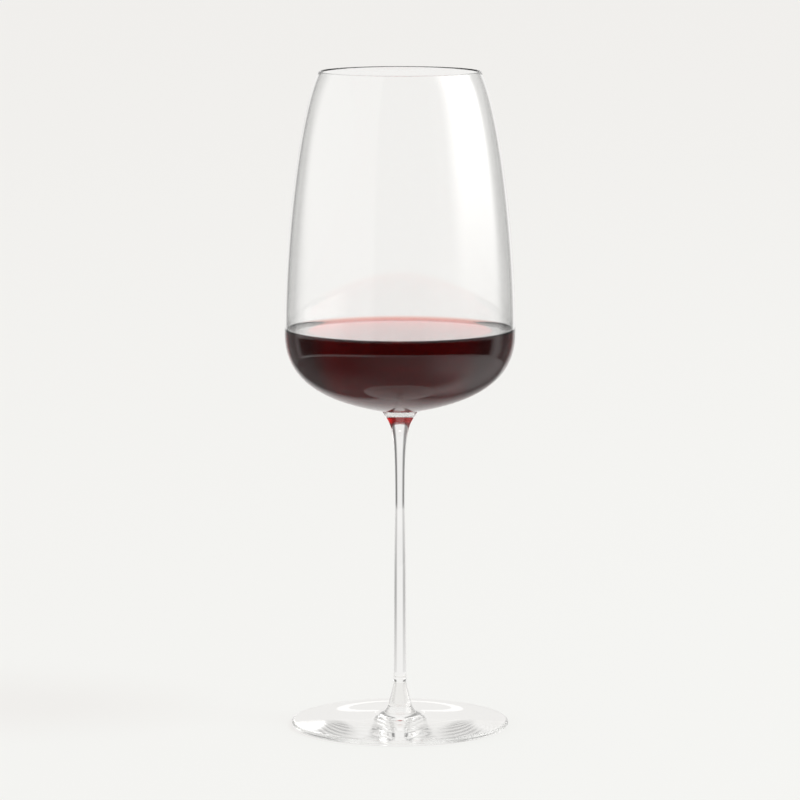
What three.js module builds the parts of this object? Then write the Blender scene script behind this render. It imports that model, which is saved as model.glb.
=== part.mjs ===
// A tall stemmed wine glass with a serving of red wine in it.
//
// The glass is made hot, in three pieces: a thin blown bowl, a solid drawn stem and a
// pressed foot. They are fused at two flat seams, one under the bowl and one on the post
// that rises from the foot. The wine is a fourth, separate solid that fills the bottom of
// the bowl, up to the level where the bowl is widest.
//
// Units are millimetres. +Z is up and is the axis of symmetry of every piece. The origin
// is the middle of the foot, on the surface that the glass stands on.

import * as THREE from 'three';

// Driving dimensions: the whole glass
const HEIGHT = 270;

// The foot: a disc with a full-round edge, slightly hollow inside the ring it stands on
const FOOT_RADIUS = 44.7;
const FOOT_EDGE_THICKNESS = 2.2;
const FOOT_RING_INNER_RADIUS = 34;
const FOOT_HOLLOW_DEPTH = 0.9;
const FOOT_CROWN_RADIUS = 12;
const FOOT_CROWN_Z = 4;
const FOOT_CROWN_SLOPE = 0.06;
const POST_ROOT_RADIUS = 4.75;
const POST_ROOT_Z = 8.8;
const POST_ROOT_TAPER = 0.2;
const POST_TOP_RADIUS = 2.6;

// The stem: a solid rod, thinnest above its middle
const FOOT_SEAM_Z = 18.1;
const STEM_LIP_RADIUS = 2.8;
const STEM_LIP_LENGTH = 1.6;
const STEM_LOWER_RADIUS = 2.54;
const STEM_LOWER_HANDLE = { radius: 2.3, z: 60 };
const STEM_UPPER_HANDLE = { radius: 2.67, z: 62 };
const STEM_WAIST_RADIUS = 1.96;
const STEM_WAIST_Z = 91.3;
const TRUMPET_THROAT_LENGTH = 34.9;
const TRUMPET_FLARE_RADIUS = 3.5;
const TRUMPET_FLARE_DEPTH = 6.7;

// The bowl: a thin shell, thickest over the stem
const BOWL_SEAM_Z = 130.8;
const BOWL_SEAM_RADIUS = 7.4;
const BOWL_RADIUS = 47.2;
const BOWL_WIDEST_Z = 163;
const BOWL_WALL = 1.2;
const BOWL_FLOOR_Z = 133.6;
const BOTTOM_SPREAD = 16.7;
const BOTTOM_LIFT = 3.6;
const SHOULDER_DEPTH = 23.3;
const FLOOR_SPREAD = 24;
const FLOOR_SHOULDER_DEPTH = 22;
const WALL_RISE = 37.3;
const RIM_RADIUS = 32.6;
const RIM_THICKNESS = 1;
const RIM_LEAN = THREE.MathUtils.degToRad(25);
const RIM_APPROACH = 19.1;

// The wine: level with the widest ring of the bowl, and climbing the wall in a meniscus
const WINE_LEVEL_Z = 162.8;
const MENISCUS_RISE = 2.4;
const MENISCUS_REACH = 8;

// Every piece stays a solid of its own, so hot seams and wet walls keep hairline gaps
const SEAM_GAP = 0.05;
const WET_GAP = 0.1;

// Steps round the axis, and along each curve of an outline
const ROUND_SEGMENTS = 48;
const STEM_SEGMENTS = 24;
const LONG_CURVE = 10;
const SHORT_CURVE = 6;

function clearGlass(name) {
  const material = new THREE.MeshStandardMaterial({
    color: new THREE.Color(0.93, 0.95, 0.94),
    roughness: 0.03,
    metalness: 0,
    transparent: true,
    opacity: 0.3,
  });
  material.name = name;
  return material;
}

function redWine() {
  const material = new THREE.MeshStandardMaterial({
    color: new THREE.Color(0.2, 0.015, 0.03),
    roughness: 0.05,
    metalness: 0,
  });
  material.name = 'red_wine';
  return material;
}

// A place on an outline: its distance from the axis, and its height
function at(radius, z) {
  return new THREE.Vector2(radius, z);
}

function bend(start, startHandle, endHandle, end, steps) {
  const curve = new THREE.CubicBezierCurve(start, startHandle, endHandle, end);
  return curve.getPoints(steps);
}

function round(centreRadius, centreZ, radius, startAngle, endAngle, steps) {
  const arc = new THREE.EllipseCurve(
    centreRadius, centreZ, radius, radius, startAngle, endAngle
  );
  return arc.getPoints(steps);
}

// Joins stretches of an outline end to end, and leaves out the doubled ends
function joined(...stretches) {
  const outline = [];
  for (const place of stretches.flat()) {
    const last = outline[outline.length - 1];
    if (!last || last.distanceTo(place) > 1e-6) {
      outline.push(place);
    }
  }
  return outline;
}

// Turns an outline about +Z. The outline starts and ends on the axis and runs
// anticlockwise, up its outer side, so that the faces point outwards.
function turned(name, outline, segments, material) {
  const geometry = new THREE.LatheGeometry(outline, segments);
  geometry.rotateX(Math.PI / 2);
  const mesh = new THREE.Mesh(geometry, material);
  mesh.name = name;
  return mesh;
}

// The disc rises gently from its rounded edge to a low crown, then climbs in a tight
// fillet into the tapered post that carries the stem.
function foot() {
  const edge = FOOT_EDGE_THICKNESS / 2;
  const edgeCentre = FOOT_RADIUS - edge;
  const hollowMiddle = FOOT_RING_INNER_RADIUS / 2;
  const third = (edgeCentre - FOOT_CROWN_RADIUS) / 3;
  const filletRun = (FOOT_CROWN_RADIUS - POST_ROOT_RADIUS) * 0.7;
  const filletRise = (POST_ROOT_Z - FOOT_CROWN_Z) * 0.6;
  const postHeight = FOOT_SEAM_Z - POST_ROOT_Z;

  const underside = bend(
    at(0, FOOT_HOLLOW_DEPTH),
    at(hollowMiddle, FOOT_HOLLOW_DEPTH),
    at(hollowMiddle, 0),
    at(FOOT_RING_INNER_RADIUS, 0),
    SHORT_CURVE
  );
  const edgeRound = round(
    edgeCentre, edge, edge, -Math.PI / 2, Math.PI / 2, SHORT_CURVE
  );
  const top = bend(
    at(edgeCentre, FOOT_EDGE_THICKNESS),
    at(edgeCentre - third, FOOT_EDGE_THICKNESS),
    at(FOOT_CROWN_RADIUS + third, FOOT_CROWN_Z - third * FOOT_CROWN_SLOPE),
    at(FOOT_CROWN_RADIUS, FOOT_CROWN_Z),
    SHORT_CURVE
  );
  const fillet = bend(
    at(FOOT_CROWN_RADIUS, FOOT_CROWN_Z),
    at(FOOT_CROWN_RADIUS - filletRun, FOOT_CROWN_Z + filletRun * FOOT_CROWN_SLOPE),
    at(POST_ROOT_RADIUS + filletRise * POST_ROOT_TAPER, POST_ROOT_Z - filletRise),
    at(POST_ROOT_RADIUS, POST_ROOT_Z),
    SHORT_CURVE
  );
  const post = bend(
    at(POST_ROOT_RADIUS, POST_ROOT_Z),
    at(POST_ROOT_RADIUS - postHeight * 0.3 * POST_ROOT_TAPER, POST_ROOT_Z + postHeight * 0.3),
    at(POST_TOP_RADIUS + 0.15, FOOT_SEAM_Z - postHeight * 0.27),
    at(POST_TOP_RADIUS, FOOT_SEAM_Z),
    SHORT_CURVE
  );
  const outline = joined(underside, edgeRound, top, fillet, post, [at(0, FOOT_SEAM_Z)]);
  return turned('foot', outline, ROUND_SEGMENTS, clearGlass('foot_glass'));
}

// The rod opens into a trumpet under the bowl. A slight swollen lip is left at its lower
// end, where it was fused to the foot's post.
function stem() {
  const bottom = FOOT_SEAM_Z + SEAM_GAP;
  const top = BOWL_SEAM_Z - SEAM_GAP;
  const lipMiddle = FOOT_SEAM_Z + STEM_LIP_LENGTH / 2;
  const lipTop = FOOT_SEAM_Z + STEM_LIP_LENGTH;

  const lip = bend(
    at(POST_TOP_RADIUS, bottom),
    at(STEM_LIP_RADIUS, lipMiddle),
    at(STEM_LIP_RADIUS, lipMiddle),
    at(STEM_LOWER_RADIUS, lipTop),
    SHORT_CURVE / 2
  );
  const shaft = bend(
    at(STEM_LOWER_RADIUS, lipTop),
    at(STEM_LOWER_HANDLE.radius, STEM_LOWER_HANDLE.z),
    at(STEM_UPPER_HANDLE.radius, STEM_UPPER_HANDLE.z),
    at(STEM_WAIST_RADIUS, STEM_WAIST_Z),
    LONG_CURVE
  );
  const trumpet = bend(
    at(STEM_WAIST_RADIUS, STEM_WAIST_Z),
    at(STEM_WAIST_RADIUS, STEM_WAIST_Z + TRUMPET_THROAT_LENGTH),
    at(TRUMPET_FLARE_RADIUS, top - TRUMPET_FLARE_DEPTH),
    at(BOWL_SEAM_RADIUS, top),
    LONG_CURVE
  );
  const outline = joined([at(0, bottom)], lip, shaft, trumpet, [at(0, top)]);
  return turned('stem', outline, STEM_SEGMENTS, clearGlass('stem_glass'));
}

// The inside of the bowl from its widest level down to the middle of its floor, or a
// curve that keeps a gap to it.
function bowlFloor(gap) {
  const radius = BOWL_RADIUS - BOWL_WALL - gap;
  const floorZ = BOWL_FLOOR_Z + gap;
  return bend(
    at(radius, BOWL_WIDEST_Z),
    at(radius, BOWL_WIDEST_Z - FLOOR_SHOULDER_DEPTH),
    at(FLOOR_SPREAD, floorZ),
    at(0, floorZ),
    LONG_CURVE
  );
}

// A wide shallow bottom turns up to the widest level, and the wall then leans in to a
// narrower fire-polished rim.
function bowl() {
  const rimHalf = RIM_THICKNESS / 2;
  const rim = round(
    RIM_RADIUS, HEIGHT - rimHalf, rimHalf, RIM_LEAN, RIM_LEAN + Math.PI, SHORT_CURVE
  );
  const outerLip = rim[0];
  const innerLip = rim[rim.length - 1];
  const belowRim = at(Math.sin(RIM_LEAN), -Math.cos(RIM_LEAN)).multiplyScalar(RIM_APPROACH);
  const innerRadius = BOWL_RADIUS - BOWL_WALL;

  const bottom = bend(
    at(BOWL_SEAM_RADIUS, BOWL_SEAM_Z),
    at(BOWL_SEAM_RADIUS + BOTTOM_SPREAD, BOWL_SEAM_Z + BOTTOM_LIFT),
    at(BOWL_RADIUS, BOWL_WIDEST_Z - SHOULDER_DEPTH),
    at(BOWL_RADIUS, BOWL_WIDEST_Z),
    LONG_CURVE
  );
  const outerWall = bend(
    at(BOWL_RADIUS, BOWL_WIDEST_Z),
    at(BOWL_RADIUS, BOWL_WIDEST_Z + WALL_RISE),
    outerLip.clone().add(belowRim),
    outerLip,
    LONG_CURVE
  );
  const innerWall = bend(
    innerLip,
    innerLip.clone().add(belowRim),
    at(innerRadius, BOWL_WIDEST_Z + WALL_RISE),
    at(innerRadius, BOWL_WIDEST_Z),
    LONG_CURVE
  );
  const outline = joined(
    [at(0, BOWL_SEAM_Z)], bottom, outerWall, rim, innerWall, bowlFloor(0)
  );
  return turned('bowl', outline, ROUND_SEGMENTS, clearGlass('bowl_glass'));
}

// The wine rests on the bowl's floor. Its surface is flat but for the meniscus.
function wine() {
  const side = bowlFloor(WET_GAP).reverse();
  const edge = at(BOWL_RADIUS - BOWL_WALL - WET_GAP - 0.02, WINE_LEVEL_Z + MENISCUS_RISE);
  const meniscus = bend(
    edge,
    at(edge.x - MENISCUS_REACH / 16, WINE_LEVEL_Z + MENISCUS_RISE / 3),
    at(edge.x - MENISCUS_REACH / 2, WINE_LEVEL_Z),
    at(edge.x - MENISCUS_REACH, WINE_LEVEL_Z),
    SHORT_CURVE
  );
  const outline = joined(side, meniscus, [at(0, WINE_LEVEL_Z)]);
  return turned('wine', outline, ROUND_SEGMENTS, redWine());
}

const glass = new THREE.Group();
glass.add(foot(), stem(), bowl(), wine());

export default glass;
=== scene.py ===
# %% [markdown]
# # A stemmed glass of red wine
#
# A fine wine glass is made hot from three gathers of clear glass. The bowl is blown thin,
# the stem is drawn out of a second gather, and a third is pressed flat for the foot. The
# three are fused while they glow, so no joint shows but a faint ring at each seam. What
# makes such an object hard to render isn't its shape, which a single outline describes,
# but how light crosses it: air to glass, glass to wine, wine to air, and back.
#
# This first cell loads the model that fixes every size.

# %% Load the frame
import math
import bmesh
import bpy
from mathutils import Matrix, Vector
from mathutils.geometry import interpolate_bezier


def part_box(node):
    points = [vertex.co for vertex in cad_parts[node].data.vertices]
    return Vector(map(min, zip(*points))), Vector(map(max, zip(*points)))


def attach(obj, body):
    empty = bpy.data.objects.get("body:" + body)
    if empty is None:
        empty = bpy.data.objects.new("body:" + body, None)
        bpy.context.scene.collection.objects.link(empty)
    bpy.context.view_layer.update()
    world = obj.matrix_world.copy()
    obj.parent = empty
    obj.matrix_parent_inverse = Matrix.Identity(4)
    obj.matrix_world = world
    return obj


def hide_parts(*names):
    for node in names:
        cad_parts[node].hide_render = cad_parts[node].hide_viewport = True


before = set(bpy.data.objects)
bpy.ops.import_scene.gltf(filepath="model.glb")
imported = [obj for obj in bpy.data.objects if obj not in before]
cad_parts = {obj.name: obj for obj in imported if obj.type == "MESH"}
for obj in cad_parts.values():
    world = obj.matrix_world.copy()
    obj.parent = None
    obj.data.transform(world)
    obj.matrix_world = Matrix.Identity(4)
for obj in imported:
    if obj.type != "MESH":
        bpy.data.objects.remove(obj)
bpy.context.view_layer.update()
print("frame nodes:", ", ".join(sorted(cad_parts)))

# %% [markdown]
# ## Sizes
#
# Every piece is turned about the Z axis, so three numbers place it: its radius, and the
# heights of its bottom and top. They are read from the frame in millimetres, the unit a
# glass maker's gauge is marked in. Blender works in metres, so the outlines are scaled
# once, when they are turned.

# %% Read each piece's radius and heights
MM = 0.001


def gauge(node):
    """Radius, bottom and top of a piece of the frame, in millimetres."""
    low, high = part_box(node)
    return high.x / MM, low.z / MM, high.z / MM


FOOT_RADIUS, _, FOOT_TOP = gauge("foot")
TRUMPET_RADIUS, _, _ = gauge("stem")
BOWL_RADIUS, BOWL_BOTTOM, RIM_TOP = gauge("bowl")
_, WINE_BOTTOM, WINE_EDGE = gauge("wine")
print(f"glass {RIM_TOP:.1f} mm tall, bowl {2 * BOWL_RADIUS:.1f} mm across")

# %% [markdown]
# ## An outline, turned
#
# A glass blower keeps the piece turning all the time, and that is also the shortest way
# to model it: draw half of the cross-section and spin it once round. The outline is a
# chain of Bezier curves, each with two handles that set how it leaves and arrives. A
# sculpted or subdivided cage would need more points and give a less exact curve, and on
# clear glass the eye reads the smallest bump as a kink in what is seen through it.

# %% Helpers for outlines
FINE = 40


def bend(start, start_handle, end_handle, end, steps=FINE):
    """Points (radius, height) along one Bezier curve, ends included."""
    handles = [Vector(p).to_3d() for p in (start, start_handle, end_handle, end)]
    return [(p.x, p.y) for p in interpolate_bezier(*handles, steps + 1)]


def arc(centre, radius, start_degrees, end_degrees, steps=12):
    """Points along a round stretch, ends included."""
    turn = math.radians(end_degrees - start_degrees) / steps
    angles = [math.radians(start_degrees) + turn * i for i in range(steps + 1)]
    return [
        (centre[0] + radius * math.cos(a), centre[1] + radius * math.sin(a))
        for a in angles
    ]


# %% [markdown]
# ## From outline to piece
#
# `bmesh.ops.spin` sweeps the outline round the axis in small steps. With `use_merge` its
# last step is joined to its first, so the seam is closed. Points on the axis all land in
# one place, so merging doubles closes the poles too, and only then are the normals
# recalculated, because an open mesh has no clear outside. A Screw modifier would turn it
# as well, but the finished mesh is wanted here, to give each face its own material.

# %% Spin an outline into a closed piece
ROUND = 256
MERGE = 1e-7
SHARP = math.radians(35)


def spun(outline, steps=ROUND):
    """A bmesh of the outline turned once about Z, closed at its poles."""
    bm = bmesh.new()
    last = None
    for radius, height in outline:
        vert = bm.verts.new((radius * MM, 0, height * MM))
        if last is not None and (vert.co - last.co).length < MERGE:
            bm.verts.remove(vert)
            continue
        if last is not None:
            bm.edges.new((last, vert))
        last = vert
    bmesh.ops.spin(
        bm, geom=bm.verts[:] + bm.edges[:], cent=(0, 0, 0), axis=(0, 0, 1),
        dvec=(0, 0, 0), angle=math.tau, steps=steps, use_merge=True, use_duplicate=False,
    )
    bmesh.ops.remove_doubles(bm, verts=bm.verts[:], dist=MERGE)
    bmesh.ops.recalc_face_normals(bm, faces=bm.faces[:])
    return bm


def finished(name, bm, slots, slot_of, node):
    """Gives each face its material, smooths all but sharp corners, and adds the piece."""
    for face in bm.faces:
        face.smooth = True
        face.material_index = slot_of(face.calc_center_median() / MM, face.normal)
    for edge in bm.edges:
        edge.smooth = edge.calc_face_angle(0) < SHARP
    mesh = bpy.data.meshes.new(name)
    bm.to_mesh(mesh)
    bm.free()
    for material in slots:
        mesh.materials.append(material)
    piece = bpy.data.objects.new(name, mesh)
    bpy.context.scene.collection.objects.link(piece)
    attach(piece, "root")
    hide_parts(node)
    print(f"{name}: {len(mesh.polygons)} faces")
    return piece


# %% [markdown]
# ## Shader maths as plain expressions
#
# A material is a graph of small nodes. Written out node by node, a formula such as
# `0.002 + 0.01 * smears` takes six lines, so one small class wraps a node's output and
# lets Python's own signs add the Math nodes. Everything that isn't arithmetic comes from
# one method, `node`, which takes the node's type, its settings and what feeds it.

# %% Helpers for materials
class Wire:
    """The output of a node, with the signs of arithmetic."""

    def __init__(self, tree, socket):
        self.tree = tree
        self.socket = socket

    def maths(self, operation, first, second):
        node = self.tree.nodes.new("ShaderNodeMath")
        node.operation = operation
        for slot, value in zip(node.inputs, (first, second)):
            if isinstance(value, Wire):
                self.tree.links.new(value.socket, slot)
            else:
                slot.default_value = value
        return Wire(self.tree, node.outputs[0])

    def __add__(self, other):
        return self.maths("ADD", self, other)

    def __radd__(self, other):
        return self.maths("ADD", other, self)

    def __sub__(self, other):
        return self.maths("SUBTRACT", self, other)

    def __rsub__(self, other):
        return self.maths("SUBTRACT", other, self)

    def __mul__(self, other):
        return self.maths("MULTIPLY", self, other)

    def __rmul__(self, other):
        return self.maths("MULTIPLY", other, self)


class Finish:
    """A material, and the one way that nodes are added to it."""

    def __init__(self, name):
        self.material = bpy.data.materials.new(name)
        self.material.use_nodes = True
        self.tree = self.material.node_tree
        self.surface = self.tree.nodes["Principled BSDF"]
        self.output = self.tree.nodes["Material Output"]

    def node(self, kind, settings=None, values=None, out=0):
        node = self.tree.nodes.new(kind)
        for key, value in (settings or {}).items():
            setattr(node, key, value)
        self.feed(node, values or {})
        return Wire(self.tree, node.outputs[out])

    def feed(self, node, values):
        for key, value in values.items():
            if isinstance(value, Wire):
                self.tree.links.new(value.socket, node.inputs[key])
            else:
                node.inputs[key].default_value = value

    def shine(self, **values):
        self.feed(self.surface, {k.replace("_", " ").title(): v for k, v in values.items()})

    def place(self, scale=(1, 1, 1)):
        """Coordinates in metres on the piece, stretched for a pattern that has a grain."""
        spot = self.node("ShaderNodeTexCoord", out=3)
        return self.node("ShaderNodeMapping", values={"Vector": spot, "Scale": scale})

    def noise(self, place, scale, detail=2.0):
        return self.node(
            "ShaderNodeTexNoise",
            values={"Vector": place, "Scale": scale, "Detail": detail},
        )

    def depth(self, colour, density):
        """Tints light by how far it travels inside the piece."""
        tint = self.node(
            "ShaderNodeVolumeAbsorption", values={"Color": colour, "Density": density}
        )
        self.tree.links.new(tint.socket, self.output.inputs["Volume"])


# %% [markdown]
# ## Clear glass
#
# Lead-free crystal bends light by an index of about 1.52, and in walls this thin it has
# hardly any colour. The trace of warmth it has is a base colour just short of white. A
# volume would tint thick glass more than thin, which is truer, but Cycles leaves a volume
# only through a face with the material it came in by, and these pieces carry two or
# three finishes, so the glass goes without.
#
# Real blown glass is never optically flat. It carries cords, which are faint streaks from
# gathering and drawing, and its polish varies a little. The cords are a very shallow
# bump, stretched along the way the glass was drawn.

# %% Glass
GLASS_INDEX = 1.52
WINE_INDEX = 1.345
GLASS_TINT = (1.0, 1.0, 0.996, 1)
HAZE = 0.012
CORD_DEPTH = 0.00002
CORD_STRENGTH = 0.35
CORDS, SMEARS = 60.0, 35.0
BLOWN_GRAIN, DRAWN_GRAIN, PRESSED_GRAIN = (1, 1, 0.35), (2.5, 2.5, 0.12), (0.6, 0.6, 0.6)
WHITE = (1, 1, 1, 1)
BLACK = (0, 0, 0, 1)


def glass(name, index, streaks, cord_depth=CORD_DEPTH, mirror=WHITE):
    """Clear glass with cords. A black mirror leaves it only grazing reflections."""
    finish = Finish(name)
    grain = finish.place(streaks)
    cords = finish.noise(grain, CORDS, detail=3.0)
    smears = finish.noise(finish.place(), SMEARS, detail=4.0)
    bump = finish.node(
        "ShaderNodeBump",
        values={"Height": cords, "Strength": CORD_STRENGTH, "Distance": cord_depth},
    )
    finish.shine(base_color=GLASS_TINT, roughness=HAZE * smears, transmission_weight=1.0)
    finish.shine(specular_tint=mirror, normal=bump)
    finish.feed(finish.surface, {"IOR": index})
    return finish.material


blown = glass("blown_glass", GLASS_INDEX, BLOWN_GRAIN)
drawn = glass("drawn_glass", GLASS_INDEX, DRAWN_GRAIN)
pressed = glass("pressed_glass", GLASS_INDEX, PRESSED_GRAIN)
print("glass finishes:", blown.name, drawn.name, pressed.name)

# %% [markdown]
# ## Where glass meets wine, and glass meets glass
#
# Wine wets the inside of the bowl, so no air lies between them, and almost nothing is
# mirrored there, because the two indices, 1.52 and 1.345, are close. Two meshes that only
# touch would leave a skin of air, which turns the wine's edge silver. So the wine will
# reach a tenth of a millimetre into the wall, and the wetted wall gets a finish that
# still bends light by 1.52 and mirrors next to nothing: its specular tint is black. One
# wall with a mixed index of 1.52 / 1.345 would do too, if the two surfaces could lie in
# exactly the same place.
#
# At a fused seam glass continues into glass, so the faces there have an index of 1 and
# light goes straight through.

# %% Wetted and fused surfaces
wetted = glass("wetted_glass", GLASS_INDEX, BLOWN_GRAIN, mirror=BLACK)
fused = glass("fused_seam", 1.0, (1, 1, 1), cord_depth=0.0)
print("joining finishes:", wetted.name, fused.name)

# %% [markdown]
# ## Red wine
#
# Wine is clear: its colour comes only from depth. It takes green and blue out of light
# within a few millimetres and lets red through for centimetres. So the meniscus, where
# it is thin, is salmon pink, and the full depth of the bowl is nearly black. A dark base
# colour would make both the same red, so the colour is an absorbing volume. How fast
# each colour fades is given per metre, and Cycles wants it as a colour and a density.
#
# Its own mirror is black as well. On a level surface seen from so low, the room is
# strongly mirrored in spite of it, because the tint leaves grazing reflections alone.

# %% Wine
WINE_TAKES = (38.0, 300.0, 345.0)
DUST = 0.004
SPECKS = 25.0

wine_finish = Finish("deep_red_wine")
dust = wine_finish.noise(wine_finish.place(), SPECKS, detail=3.0)
wine_finish.shine(base_color=WHITE, roughness=DUST * dust, transmission_weight=1.0)
wine_finish.shine(specular_tint=BLACK)
wine_finish.feed(wine_finish.surface, {"IOR": WINE_INDEX})
density = max(WINE_TAKES)
wine_finish.depth((*[1 - taken / density for taken in WINE_TAKES], 1), density)
print(f"a centimetre of wine lets {math.exp(-WINE_TAKES[0] / 100):.0%} of red through")

# %% [markdown]
# ## The foot
#
# The foot is a disc about two millimetres thick at its edge, which is fire-polished to a
# full round. It stands on a flat ring, and inside the ring its underside is a little
# hollow, so that it doesn't rock. The top rises gently to a crown, and then climbs in a
# tight fillet into a short post, where the stem was fused on. All of that is one outline
# again, with a curve for each stretch. Bevelled discs on a cone would leave creases.

# %% Foot
HAIR = 0.001
EDGE = 1.1
RING_INNER = 34.0
HOLLOW = 0.9
CROWN = (12.0, 4.0)
CROWN_SLOPE = 0.06
POST_ROOT = (4.75, 8.8)
POST_TAPER = 0.2
POST_TOP_RADIUS = 2.6
POST_EASE = 0.3
NECK = (0.15, 0.27)
FILLET_RUN, FILLET_RISE = 0.7, 0.6

edge_centre = FOOT_RADIUS - EDGE
third = (edge_centre - CROWN[0]) / 3
run = (CROWN[0] - POST_ROOT[0]) * FILLET_RUN
rise = (POST_ROOT[1] - CROWN[1]) * FILLET_RISE
post = FOOT_TOP - POST_ROOT[1]
foot_outline = (
    bend((0, HOLLOW), (RING_INNER / 2, HOLLOW), (RING_INNER / 2, 0), (RING_INNER, 0), steps=24)
    + arc((edge_centre, EDGE), EDGE, -90, 90, steps=20)
    + bend(
        (edge_centre, 2 * EDGE),
        (edge_centre - third, 2 * EDGE),
        (CROWN[0] + third, CROWN[1] - third * CROWN_SLOPE),
        CROWN,
    )
    + bend(
        CROWN,
        (CROWN[0] - run, CROWN[1] + run * CROWN_SLOPE),
        (POST_ROOT[0] + rise * POST_TAPER, POST_ROOT[1] - rise),
        POST_ROOT,
    )
    + bend(
        POST_ROOT,
        (POST_ROOT[0] - post * POST_EASE * POST_TAPER, POST_ROOT[1] + post * POST_EASE),
        (POST_TOP_RADIUS + NECK[0], FOOT_TOP - post * NECK[1]),
        (POST_TOP_RADIUS, FOOT_TOP),
    )
    + [(0, FOOT_TOP)]
)


def foot_slot(middle, normal):
    return 1 if middle.z > FOOT_TOP - HAIR else 0


foot = finished(
    "glass_foot", spun(foot_outline), [pressed, fused], foot_slot, "foot"
)

# %% [markdown]
# ## The stem
#
# The stem is a solid rod, four to five millimetres thick and thinnest above its middle,
# where it was hottest as it was drawn. It opens like a trumpet under the bowl. Where it
# was fused to the post, the glass swelled into a slight lip. A cylinder could be pulled
# into this shape ring by ring, but one outline holds all of it and is quicker to correct.
# A gap of a fiftieth of a millimetre at each end keeps the faces of two pieces apart.

# %% Stem
SEAM = 0.02
WAIST = (1.96, 91.3)
LOWER_RADIUS = 2.54
LOWER_PULL, UPPER_PULL = (2.3, 60), (2.67, 62)
STEM_ROUND = 96
LIP = (2.8, 0.8)
THROAT = 34.9
FLARE = (3.5, 6.7)

stem_bottom = FOOT_TOP + SEAM
stem_top = BOWL_BOTTOM - SEAM
lip_top = stem_bottom + 2 * LIP[1]
stem_outline = (
    [(0, stem_bottom)]
    + bend(
        (POST_TOP_RADIUS, stem_bottom),
        (LIP[0], stem_bottom + LIP[1]),
        (LIP[0], stem_bottom + LIP[1]),
        (LOWER_RADIUS, lip_top),
        steps=12,
    )
    + bend((LOWER_RADIUS, lip_top), LOWER_PULL, UPPER_PULL, WAIST, steps=60)
    + bend(
        WAIST,
        (WAIST[0], WAIST[1] + THROAT),
        (FLARE[0], stem_top - FLARE[1]),
        (TRUMPET_RADIUS, stem_top),
        steps=60,
    )
    + [(0, stem_top)]
)


def stem_slot(middle, normal):
    at_seam = middle.z < stem_bottom + HAIR or middle.z > stem_top - HAIR
    return 1 if at_seam else 0


stem = finished(
    "glass_stem", spun(stem_outline, STEM_ROUND), [drawn, fused], stem_slot,
    "stem",
)

# %% [markdown]
# ## The bowl
#
# The bowl is one thin shell. Its outside and its inside are drawn as two curves a little
# over a millimetre apart that come together in a rounded rim, rather than as one surface
# with a Solidify modifier, because the wall isn't even: it is thickest over the stem,
# where the glass was gathered, and thinnest at the rim.
#
# A cut round the shell at the wine's edge lets the wetted finish stop exactly there. The
# frame's wine stands a tenth of a millimetre off the glass, which gives the inside floor.

# %% Bowl
WIDEST = 163.0
WALL = 1.2
BELLY = (16.7, 3.6)
BELLY_RISE = 23.3
INSIDE_RISE = 22
INSIDE_FLAT = 24
WINE_GAP = 0.1
FLOOR = WINE_BOTTOM - WINE_GAP
RIM_RADIUS = 32.6
RIM = 0.5
RIM_LEAN = 25
RIM_APPROACH = 19.1
WALL_RISE = 37.3

rim = arc((RIM_RADIUS, RIM_TOP - RIM), RIM, RIM_LEAN, RIM_LEAN + 180, steps=16)
lean = math.radians(RIM_LEAN)
below = (RIM_APPROACH * math.sin(lean), -RIM_APPROACH * math.cos(lean))
inner_radius = BOWL_RADIUS - WALL


def under_rim(lip):
    return (lip[0] + below[0], lip[1] + below[1])


bowl_outline = (
    [(0, BOWL_BOTTOM)]
    + bend(
        (TRUMPET_RADIUS, BOWL_BOTTOM),
        (TRUMPET_RADIUS + BELLY[0], BOWL_BOTTOM + BELLY[1]),
        (BOWL_RADIUS, WIDEST - BELLY_RISE),
        (BOWL_RADIUS, WIDEST),
    )
    + bend((BOWL_RADIUS, WIDEST), (BOWL_RADIUS, WIDEST + WALL_RISE), under_rim(rim[0]), rim[0])
    + rim
    + bend(rim[-1], under_rim(rim[-1]), (inner_radius, WIDEST + WALL_RISE), (inner_radius, WIDEST))
    + bend(
        (inner_radius, WIDEST), (inner_radius, WIDEST - INSIDE_RISE), (INSIDE_FLAT, FLOOR), (0, FLOOR)
    )
)


def bowl_slot(middle, normal):
    """Fused under the floor, wetted on the inside below the wine's edge, blown elsewhere."""
    inward = Vector((middle.x, middle.y, 0)).dot(normal) < 0 or normal.z > 0.5
    if middle.z < BOWL_BOTTOM + HAIR:
        return 2
    return 1 if inward and middle.z < WINE_EDGE else 0


shell = spun(bowl_outline)
bmesh.ops.bisect_plane(
    shell, geom=shell.verts[:] + shell.edges[:] + shell.faces[:], dist=1e-8,
    plane_co=(0, 0, WINE_EDGE * MM), plane_no=(0, 0, 1),
)
bowl = finished("glass_bowl", shell, [blown, wetted, fused], bowl_slot, "bowl")


# %% [markdown]
# ## The wine
#
# The wine fills the bowl up to its widest part, and reaches the tenth of a millimetre
# into the wall that the wetted finish asks for. Its surface is level, but it clings to
# clean glass, so at the wall it climbs in a small concave meniscus. That thin wedge is
# the part that glows salmon pink, so it is worth its own curve. Scaling a copy of the
# inner wall would shrink the wine from its floor as well and would leave the edge square.

# %% Wine in the bowl
SOAK = 0.1
MENISCUS = 1.4
LEVEL = WINE_EDGE - MENISCUS
REACH = 5.0

wet_radius = inner_radius + SOAK
edge = (wet_radius, WINE_EDGE)
wine_outline = (
    bend(
        (0, FLOOR - SOAK), (INSIDE_FLAT, FLOOR - SOAK),
        (wet_radius, WIDEST - INSIDE_RISE), (wet_radius, WIDEST),
    )
    + bend(
        edge,
        (edge[0] - REACH / 16, LEVEL + MENISCUS / 3),
        (edge[0] - REACH / 2, LEVEL),
        (edge[0] - REACH, LEVEL),
        steps=32,
    )
    + [(0, LEVEL)]
)


def only_slot(middle, normal):
    return 0


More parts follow.
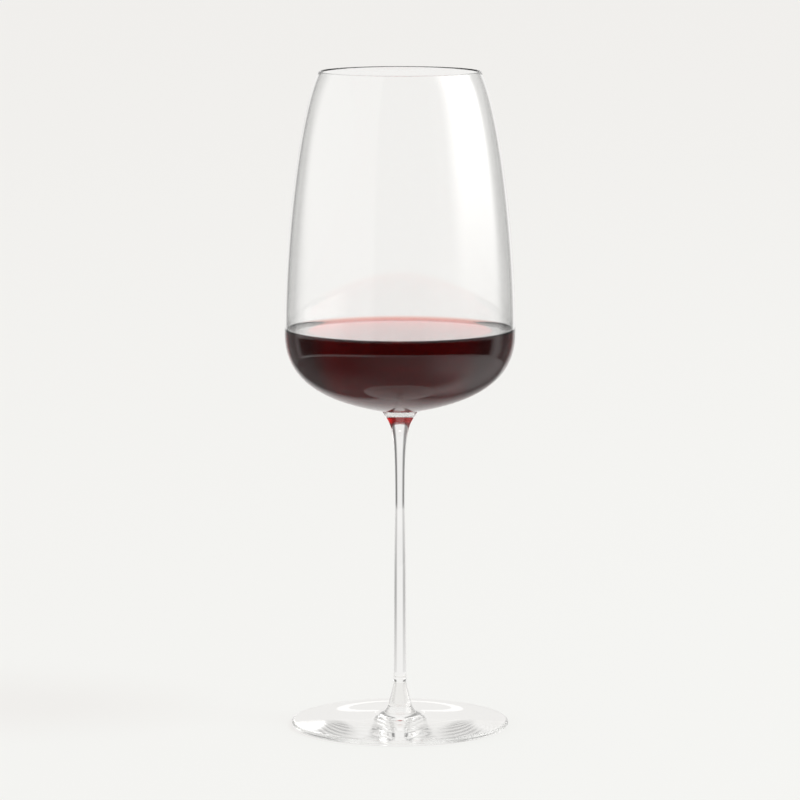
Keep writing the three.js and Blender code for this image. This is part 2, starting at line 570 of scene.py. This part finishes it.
wine = finished(
    "red_wine", spun(wine_outline), [wine_finish.material], only_slot, "wine"
)

# %% [markdown]
# ## Let the room's light reach the floor
#
# Clear glass takes little light away. But of the light that bends through glass on its
# way to a matt floor, a path tracer finds only a part, and noisily, so a grey stain would
# spread round the foot. Caustics could be traced with far more samples. Instead the
# pieces are hidden from the rays that the floor sends out into the room, and the soft
# shadow of a lamp still falls.

# %% Hide the pieces from the floor's own rays
for piece in (foot, stem, bowl, wine):
    piece.visible_diffuse = False
    print(f"{piece.name} lets the room's light pass to the floor")

# %% [markdown]
# ## Floor
#
# Glass shows what surrounds it, so the stage matters as much as the finish. The floor is
# plain pale paper in two meshes: a disc under the glass that every ray meets, and a wide
# ring round it that mirrored and bent rays pass through, so that the glass shows the
# painted room there. One big plane would make all that the glass shows the same white.
#
# The paper is quite matt, or it would mirror the glowing ring of painted table reflection
# that comes later, and it lies a tenth of a millimetre under the foot, so that their faces
# don't share a place.

# %% Floor
NEAR_FLOOR = 0.06
FAR_FLOOR = 20.0
FLOOR_DROP = 0.0001
FLOOR_SIDES = 96
PAPER = (0.866, 0.860, 0.850, 1)
PAPER_ROUGHNESS = 0.9


def staged(name, bm, finish, unseen_by=()):
    """Adds a mesh to the stage, unseen by the kinds of ray that are named."""
    mesh = bpy.data.meshes.new(name)
    bm.to_mesh(mesh)
    bm.free()
    mesh.materials.append(finish.material)
    piece = bpy.data.objects.new(name, mesh)
    bpy.context.scene.collection.objects.link(piece)
    for ray in unseen_by:
        setattr(piece, f"visible_{ray}", False)
    print(f"{name}: unseen by {', '.join(unseen_by) or 'nothing'}")


def ring(inner, outer, height):
    """A level ring round the glass, in metres."""
    bm = bmesh.new()
    bmesh.ops.create_circle(bm, radius=inner, segments=FLOOR_SIDES)
    grown = bmesh.ops.extrude_edge_only(bm, edges=bm.edges[:])["geom"]
    rim_verts = [part for part in grown if isinstance(part, bmesh.types.BMVert)]
    bmesh.ops.scale(bm, vec=(outer / inner, outer / inner, 1), verts=rim_verts)
    bmesh.ops.translate(bm, vec=(0, 0, height), verts=bm.verts[:])
    return bm


paper = Finish("stage_paper")
paper.shine(base_color=PAPER, roughness=PAPER_ROUGHNESS)
paper.feed(paper.surface, {"Specular IOR Level": 0.0})
disc = bmesh.new()
bmesh.ops.create_circle(disc, cap_ends=True, radius=NEAR_FLOOR, segments=FLOOR_SIDES)
bmesh.ops.translate(disc, vec=(0, 0, -FLOOR_DROP), verts=disc.verts[:])
staged("stage_floor_near", disc, paper)
staged("stage_floor", ring(NEAR_FLOOR, FAR_FLOOR, -FLOOR_DROP), paper, ("glossy", "transmission"))

# %% [markdown]
# ## Painting a room by direction
#
# Walls and soft boxes could be modelled, but only the direction they lie in shows in so
# small a mirror as a glass. So the room is a painting on the world. A bearing of 0
# degrees is where the camera stands, and bearings grow towards its right. Two smooth
# steps multiplied make a soft-edged window, and a ramp gives the brightness all round.

# %% Helpers for painting by direction
WARM = (1.0, 0.992, 0.978, 1)


class Studio(Finish):
    """The world, with the same way of adding nodes as a material."""

    def __init__(self, shaded_world):
        self.tree = shaded_world.node_tree
        self.surface = self.tree.nodes["Background"]
        self.output = self.tree.nodes["World Output"]


def step(finish, value, start, end):
    """0 before start, 1 after end, smooth between. Falls when start is past end."""
    return finish.node(
        "ShaderNodeMapRange", {"interpolation_type": "SMOOTHSTEP"},
        {"Value": value, "From Min": min(start, end), "From Max": max(start, end),
         "To Min": float(start > end), "To Max": float(start < end)},
    )


def axes(finish, vector, count):
    """The first parts of a vector, each as a wire."""
    split = finish.tree.nodes.new("ShaderNodeSeparateXYZ")
    finish.tree.links.new(vector.socket, split.inputs[0])
    return [Wire(finish.tree, split.outputs[i]) for i in range(count)]


def bearing_of(across, along):
    """Degrees round from the camera's side, growing to its right."""
    return across.maths("ARCTAN2", across, -1 * along) * math.degrees(1)


def all_round(finish, bearing, stops):
    """Brightness round the horizon, straight between (degrees, level) stops."""
    wire = finish.node("ShaderNodeValToRGB", values={"Fac": bearing * (1 / 360) + 0.5})
    elements = wire.socket.node.color_ramp.elements
    while len(elements) < len(stops):
        elements.new(1.0)
    for element, (degrees, level) in zip(elements, stops):
        element.position = degrees / 360 + 0.5
        element.color = (level, level, level, 1)
    return wire


print("light in the room is tinted", WARM[:3])

# %% [markdown]
# ## Walls and soft light
#
# On an evenly white stage a clear glass would vanish. So the room is bright, with a dark
# zone on each side of the back, and one tall soft light on the right that fades towards
# its foot. The dark zones draw the edges of the bowl and the soft light its long
# highlight. The wall in front is a little dimmer than the one on the left, and where
# they meet, an upright edge shows in the bowl. A narrow bright patch low behind lies just
# where the level wine mirrors it to the camera.

# %% Walls and soft light
WALL_LEVELS = [
    (-180, 0.9), (-164, 0.9), (-154, 0.25), (-132, 0.25), (-118, 1.0), (-28, 1.0),
    (-25, 0.72), (37, 0.72), (47, 0.8), (116, 0.8), (128, 0.2), (150, 0.2),
    (160, 0.9), (180, 0.9),
]
SOFT_LIGHT = 2.2
SOFT_LEFT, SOFT_RIGHT, SOFT_FOOT = (52, 74), (126, 114), (-0.12, 0.22)
PATCH = 0.42
PATCH_WIDTH, PATCH_FOOT, PATCH_TOP = (0.986, 0.991), (0.104, 0.110), (0.134, 0.128)

world = bpy.data.worlds.new("studio")
world.use_nodes = True
bpy.context.scene.world = world
studio = Studio(world)
side, ahead, up = axes(studio, studio.node("ShaderNodeTexCoord", out=0), 3)
bearing = bearing_of(side, ahead)
walls = all_round(studio, bearing, WALL_LEVELS)
soft_side = step(studio, bearing, *SOFT_LEFT) * step(studio, bearing, *SOFT_RIGHT)
soft_height = step(studio, up, *SOFT_FOOT)
patch = step(studio, ahead, *PATCH_WIDTH)
patch = patch * step(studio, up, *PATCH_FOOT) * step(studio, up, *PATCH_TOP)
lit = walls + SOFT_LIGHT * soft_side * soft_height + PATCH * patch
print(f"walls from {min(v for _, v in WALL_LEVELS)} to {max(v for _, v in WALL_LEVELS)}")

# %% [markdown]
# ## One room, seen by three kinds of ray
#
# The Light Path node tells what kind of ray asks. The camera gets a plain pale backdrop.
# Rays from the floor get an even room, because uneven walls would light it unevenly.
# Rays from the glass get the painted walls, with two corrections. Bent rays that look
# down find pale floor, so that the bowl stays clear from above. Mirrored rays find a dark
# gap beyond the table's edge, and it draws the dark band along the top of the wine.

# %% Sort the rays
PALE = (0.895, 0.888, 0.874, 1)
ROOM_FOR_FLOOR = 1.01
FLOOR_THROUGH_GLASS = 0.91
CEILING = 1.0
CEILING_EDGE, DOWNWARD = (0.75, 0.92), (-0.15, -0.22)
GAP = 0.94
GAP_FOOT, GAP_TOP, GAP_LEFT, GAP_RIGHT = (-0.34, -0.32), (-0.118, -0.13), (-130, -116), (112, 100)

camera_ray, mirrored, bent = (studio.node("ShaderNodeLightPath", out=i) for i in (0, 3, 6))
gap = step(studio, up, *GAP_FOOT) * step(studio, up, *GAP_TOP)
gap = gap * step(studio, bearing, *GAP_LEFT) * step(studio, bearing, *GAP_RIGHT)
lit = lit * (1 - GAP * gap * (1 - bent))
lit = lit + (FLOOR_THROUGH_GLASS - lit) * (bent * step(studio, up, *DOWNWARD))
overhead = step(studio, up, *CEILING_EDGE)
room = lit * (1 - overhead) + CEILING * overhead
room = ROOM_FOR_FLOOR + (room - ROOM_FOR_FLOOR) * mirrored.maths("MAXIMUM", mirrored, bent)
warm_room = studio.node(
    "ShaderNodeMix", {"data_type": "RGBA", "blend_type": "MULTIPLY"},
    {"Factor": 1.0, 6: room, 7: WARM}, out=2,
)
backdrop = studio.node(
    "ShaderNodeMix", {"data_type": "RGBA"}, {"Factor": camera_ray, 6: warm_room, 7: PALE}, out=2
)
studio.feed(studio.surface, {"Color": backdrop, "Strength": 1.0})
print(f"the world has {len(studio.tree.nodes)} nodes")

# %% [markdown]
# ## The table's painted reflection, as the glass sees it
#
# The wine's dark body is a mirror for the table round it. A satin white table looks
# bright against the light and dull the other way, so from the glass it is dim in front
# and on the left and bright on the right. No table is modelled: a thin glowing ring that
# only mirrored rays meet lies on the floor and carries that painted reflection, with its
# dark zones at the sides and a painted dim patch close in front. A glossy floor would need
# the real lights to give them, and would show them to the camera too.

# %% Table
TABLE_REACH = 0.43
TABLE_HEIGHT = 0.0004
TABLE_REFLECTION_LEVELS = [
    (-180, 0.9), (-160, 0.8), (-144, 0.15), (-130, 0.2), (-108, 0.28), (-60, 0.16),
    (-20, 0.38), (20, 0.5), (50, 1.0), (84, 1.2), (112, 0.85), (132, 0.5),
    (146, 0.2), (180, 0.9),
]
# Painted shade: close in front of the glass, the painted reflection is dimmed to this level.
NEAR_PAINTED_SHADE = 0.4
NEAR, IN_FRONT = (0.22, 0.07), (0.03, -0.05)

# A glowing ring, not a lamp and not a table: its emission is the table's painted reflection.
table = Finish("stage_painted_table_reflection")
spot = table.node("ShaderNodeTexCoord", out=3)
across, along = axes(table, spot, 2)
reach = table.node("ShaderNodeVectorMath", {"operation": "LENGTH"}, {0: spot}, out=1)
shade = all_round(table, bearing_of(across, along), TABLE_REFLECTION_LEVELS)
# Painted dim patch: near the glass and in front of it, the painted reflection is pulled down to the
# near level.
painted_dim_near_front = step(table, reach, *NEAR) * step(table, along, *IN_FRONT)
shade = shade + (NEAR_PAINTED_SHADE - shade) * painted_dim_near_front
glow = table.node("ShaderNodeEmission", values={"Color": WARM, "Strength": shade})
table.tree.links.new(glow.socket, table.output.inputs["Surface"])
table.material.cycles.emission_sampling = "NONE"
staged(
    "stage_painted_table_reflection", ring(NEAR_FLOOR, TABLE_REACH, TABLE_HEIGHT), table,
    ("camera", "diffuse", "transmission", "shadow", "volume_scatter"),
)

# %% [markdown]
# ## Key light
#
# One large lamp high on the right gives the floor its soft shadow. A sun would draw a
# hard one. Light that crosses wine comes out red, so the shadow of real wine is faintly
# warm. The lamp is a little short of red, and so where it is blocked, warmth is left. The
# glass doesn't see it, because the painted soft light is there for that.

# %% Key light
KEY_PLACE = (2.45, -0.65, 2.6)
KEY_SIZE = 1.2
KEY_WATTS = 14.0
KEY_COLOUR = (0.75, 1.0, 1.0)

lamp = bpy.data.lights.new("key", "AREA")
lamp.shape = "DISK"
lamp.size = KEY_SIZE
lamp.energy = KEY_WATTS
lamp.color = KEY_COLOUR
key = bpy.data.objects.new("key", lamp)
key.location = KEY_PLACE
key.visible_camera = False
key.visible_glossy = False
key.visible_transmission = False
bpy.context.scene.collection.objects.link(key)
print(f"key light {key.location.length:.1f} m away")

# %% [markdown]
# ## Camera
#
# A long lens from nearly two metres away keeps the foot and the rim from looking
# stretched. It looks down at the glass by a few degrees, so that the wine's surface and
# the foot show as thin ellipses. A ray can be trapped in glass for dozens of turns, so
# the limits on bounces are high, or such places would come out black.

# %% Camera and light path settings
EYE = Vector((0.0, -1.860, 0.385))
PITCH = math.radians(7.647)
LENS = 206.07
SENSOR = 36
SIGHT = 60
BOUNCES = 64
CLEAR_BOUNCES = 16
BRIGHTEST_BOUNCE = 6.0

camera = bpy.data.objects.new("camera", bpy.data.cameras.new("camera"))
camera.data.lens = LENS
camera.data.sensor_width = SENSOR
camera.data.clip_end = SIGHT
camera.location = EYE
camera.rotation_euler = (math.pi / 2 - PITCH, 0, 0)
bpy.context.scene.collection.objects.link(camera)
bpy.context.scene.camera = camera

scene = bpy.context.scene
scene.view_settings.view_transform = "Standard"
scene.cycles.max_bounces = BOUNCES
scene.cycles.transmission_bounces = BOUNCES
scene.cycles.glossy_bounces = BOUNCES
scene.cycles.transparent_max_bounces = CLEAR_BOUNCES
scene.cycles.sample_clamp_indirect = BRIGHTEST_BOUNCE
scene.cycles.use_denoising = True
print(f"camera {EYE.length:.2f} m from the foot, looking down {math.degrees(PITCH):.1f} degrees")
